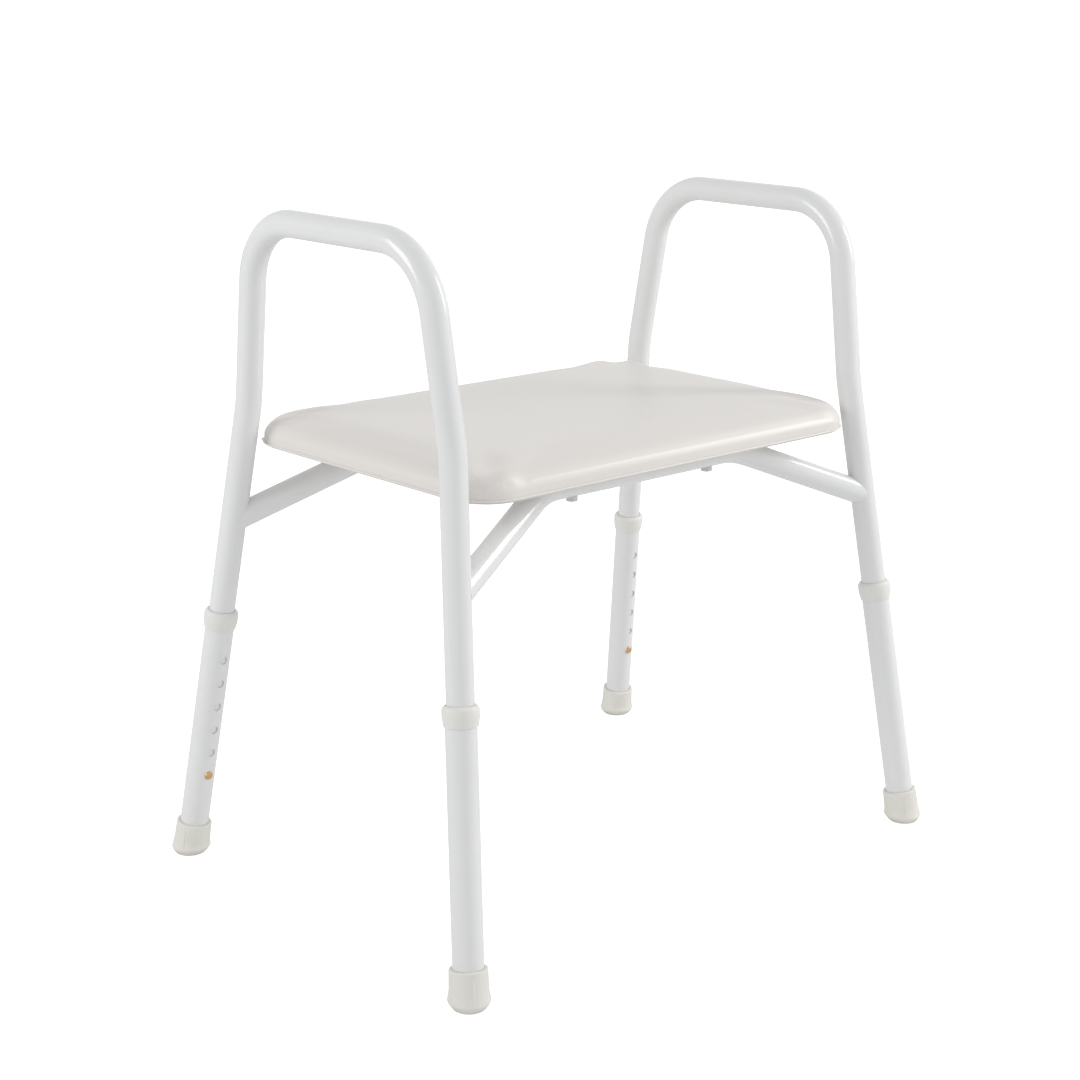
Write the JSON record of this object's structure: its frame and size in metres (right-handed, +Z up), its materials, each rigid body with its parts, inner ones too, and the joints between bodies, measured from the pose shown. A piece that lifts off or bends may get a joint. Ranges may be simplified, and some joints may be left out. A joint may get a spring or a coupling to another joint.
{
  "type": "shower stool",
  "caption": "Padded shower stool with bent tube side rails, welded crossbars and splayed legs that extend on snap buttons.",
  "frame": {"origin": "on the floor, midway between the feet", "axes": "+X from the left hoop to the right hoop, -Y to the front, +Z up"},
  "size_m": [0.6542, 0.4816, 0.6687],
  "materials": {
    "powder_coat": "glossy cool white powder coat",
    "seat_vinyl": "satin warm white vinyl with fine grain",
    "seat_foam": "open cell foam",
    "seat_board": "plywood",
    "collar_plastic": "satin off-white moulded plastic",
    "foot_rubber": "matt off-white ribbed rubber",
    "button_brass": "dull yellow plated steel",
    "spring_steel": "bare spring strip",
    "zinc_steel": "zinc plated"
  },
  "bodies": {
    "frame": {"left_hoop": "powder_coat", "right_hoop": "powder_coat", "front_crossbar": "powder_coat", "rear_crossbar": "powder_coat", "weld_beads": "powder_coat", "seat_board": "seat_board", "seat_foam": "seat_foam", "seat_cover": "seat_vinyl", "seat_base_cover": "seat_vinyl", "seat_welt": "seat_vinyl", "seat_bolts": "zinc_steel", "saddle_washers": "collar_plastic", "tee_nuts": "zinc_steel", "front_left_snap_spring": "spring_steel", "front_right_snap_spring": "spring_steel", "rear_left_snap_spring": "spring_steel", "rear_right_snap_spring": "spring_steel"},
    "front_left_leg": {"front_left_lower_tube": "powder_coat", "front_left_collar": "collar_plastic", "front_left_rubber_foot": "foot_rubber", "front_left_foot_washer": "zinc_steel"},
    "front_left_button": {"front_left_snap_button": "button_brass"},
    "front_right_leg": {"front_right_lower_tube": "powder_coat", "front_right_collar": "collar_plastic", "front_right_rubber_foot": "foot_rubber", "front_right_foot_washer": "zinc_steel"},
    "front_right_button": {"front_right_snap_button": "button_brass"},
    "rear_left_leg": {"rear_left_lower_tube": "powder_coat", "rear_left_collar": "collar_plastic", "rear_left_rubber_foot": "foot_rubber", "rear_left_foot_washer": "zinc_steel"},
    "rear_left_button": {"rear_left_snap_button": "button_brass"},
    "rear_right_leg": {"rear_right_lower_tube": "powder_coat", "rear_right_collar": "collar_plastic", "rear_right_rubber_foot": "foot_rubber", "rear_right_foot_washer": "zinc_steel"},
    "rear_right_button": {"rear_right_snap_button": "button_brass"}
  },
  "joints": [
    {"name": "front_left_leg_slide", "type": "slide", "parent": "frame", "child": "front_left_leg", "axis": [-0.0866, -0.1433, -0.9859], "range_m": [0, 0.127], "deforming": ["front_left_snap_button"]},
    {"name": "front_left_button_press", "type": "slide", "parent": "frame", "child": "front_left_button", "axis": [0.0125, -0.9897, 0.1428], "range_m": [0, 0.004], "stiffness_N_per_m": 900, "deforming": ["front_left_snap_spring"]},
    {"name": "front_right_leg_slide", "type": "slide", "parent": "frame", "child": "front_right_leg", "axis": [0.0866, -0.1433, -0.9859], "range_m": [0, 0.127], "deforming": ["front_right_snap_button"]},
    {"name": "front_right_button_press", "type": "slide", "parent": "frame", "child": "front_right_button", "axis": [-0.0125, -0.9897, 0.1428], "range_m": [0, 0.004], "stiffness_N_per_m": 900, "deforming": ["front_right_snap_spring"]},
    {"name": "rear_left_leg_slide", "type": "slide", "parent": "frame", "child": "rear_left_leg", "axis": [-0.0866, 0.1433, -0.9859], "range_m": [0, 0.127], "deforming": ["rear_left_snap_button"]},
    {"name": "rear_left_button_press", "type": "slide", "parent": "frame", "child": "rear_left_button", "axis": [0.0125, 0.9897, 0.1428], "range_m": [0, 0.004], "stiffness_N_per_m": 900, "deforming": ["rear_left_snap_spring"]},
    {"name": "rear_right_leg_slide", "type": "slide", "parent": "frame", "child": "rear_right_leg", "axis": [0.0866, 0.1433, -0.9859], "range_m": [0, 0.127], "deforming": ["rear_right_snap_button"]},
    {"name": "rear_right_button_press", "type": "slide", "parent": "frame", "child": "rear_right_button", "axis": [-0.0125, 0.9897, 0.1428], "range_m": [0, 0.004], "stiffness_N_per_m": 900, "deforming": ["rear_right_snap_spring"]}
  ]
}
